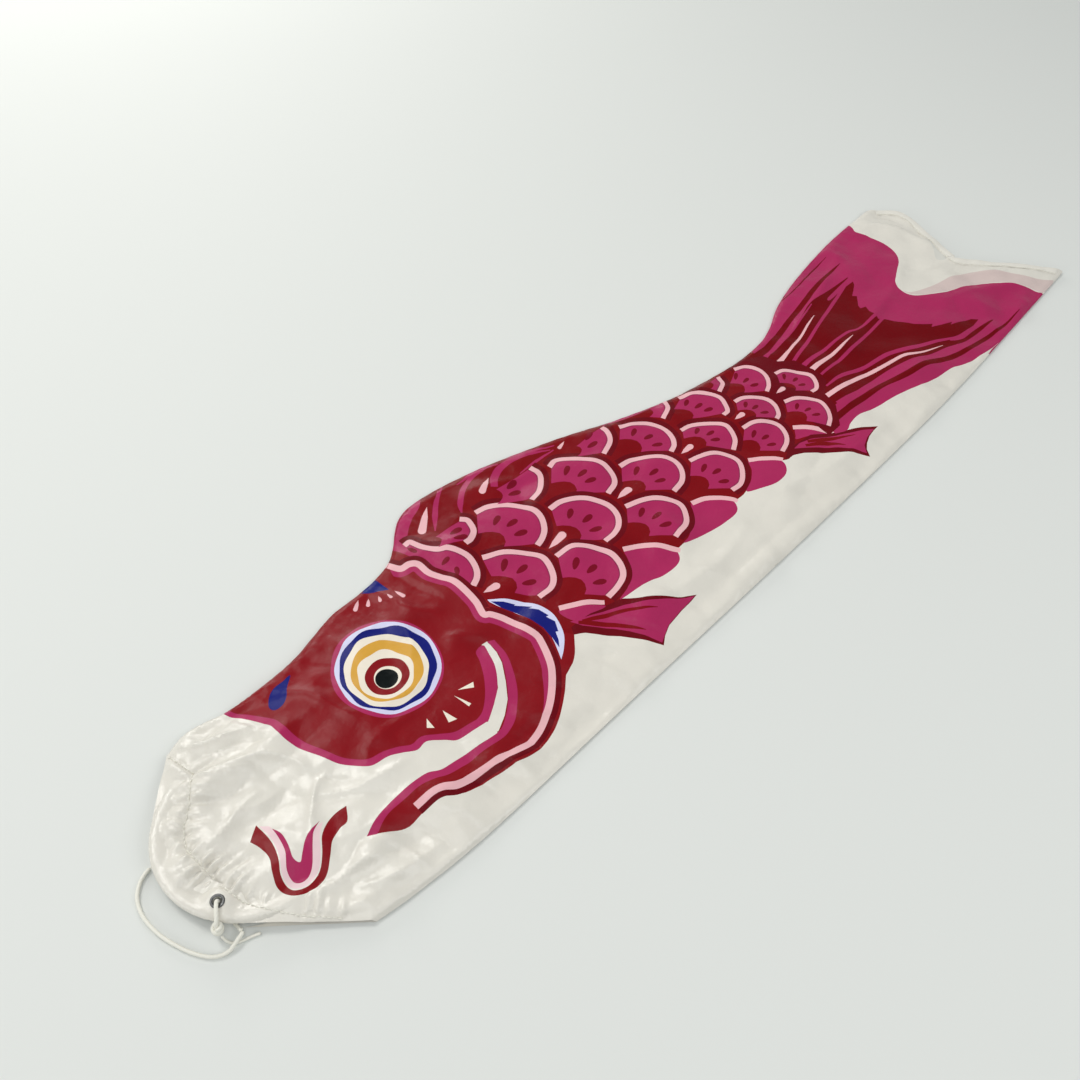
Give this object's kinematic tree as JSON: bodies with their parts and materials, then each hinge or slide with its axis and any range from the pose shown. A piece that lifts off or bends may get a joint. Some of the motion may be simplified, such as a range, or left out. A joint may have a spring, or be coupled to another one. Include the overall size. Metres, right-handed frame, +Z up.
{
  "type": "carp streamer",
  "caption": "Carp-shaped wind streamer of printed polyester with a hooped mouth, eyelets and a cord bridle, lying flat on its side.",
  "frame": {"origin": "middle of the bottom of the streamer's box, without the bridle, on the surface that it lies on", "axes": "+X from the mouth to the tail, +Y towards the fish's back, +Z up out of the surface; the streamer lies flat on its side"},
  "size_m": [1.0064, 0.255, 0.0185],
  "materials": {
    "printed_cloth": "glossy polyester satin, printed crimson, magenta, pink and navy on white",
    "white_cloth": "glossy unprinted polyester satin",
    "thread": "white sewing thread",
    "cord": "soft white braided cord",
    "hoop_rod": "translucent white springy plastic rod",
    "eyelet_metal": "gunmetal plated, slightly worn to bare metal"
  },
  "bodies": {
    "head": {"head_panel_upper": "printed_cloth", "head_panel_lower": "printed_cloth", "head_back_seam": "white_cloth", "head_belly_seam": "white_cloth", "mouth_hoop": "hoop_rod", "hoop_ferrule": "eyelet_metal", "mouth_hem": "white_cloth", "hem_facing_front": "white_cloth", "hem_facing_rear": "white_cloth", "hem_stitching": "thread", "eyelet_front": "eyelet_metal", "eyelet_rear": "eyelet_metal", "bridle_lead_front": "cord", "bridle_lead_rear": "cord", "bridle_knot_front": "cord", "bridle_knot_rear": "cord", "bridle_tail_front": "cord"},
    "bridle": {"bridle_loop": "cord"},
    "body": {"body_panel_upper": "printed_cloth", "body_panel_lower": "printed_cloth", "body_back_seam": "white_cloth", "body_belly_seam": "white_cloth"},
    "tail": {"tail_panel_upper": "printed_cloth", "tail_panel_lower": "printed_cloth", "tail_back_seam": "white_cloth", "tail_belly_seam": "white_cloth", "tail_hem_upper": "white_cloth", "tail_hem_lower": "white_cloth"}
  },
  "joints": [
    {"name": "bridle_swing", "type": "hinge", "parent": "head", "child": "bridle", "pos_m": [-0.4904, 0.01913, 0.0016], "axis": [-0.2146, 0.9763, -0.0282], "range_deg": [0, 90]},
    {"name": "body_fold", "type": "hinge", "parent": "head", "child": "body", "pos_m": [-0.1709, 0, 0.00805], "axis": [0, -1, 0], "range_deg": [0, 90]},
    {"name": "tail_fold", "type": "hinge", "parent": "body", "child": "tail", "pos_m": [0.1791, 0, 0.00805], "axis": [0, -1, 0], "range_deg": [0, 90]}
  ]
}
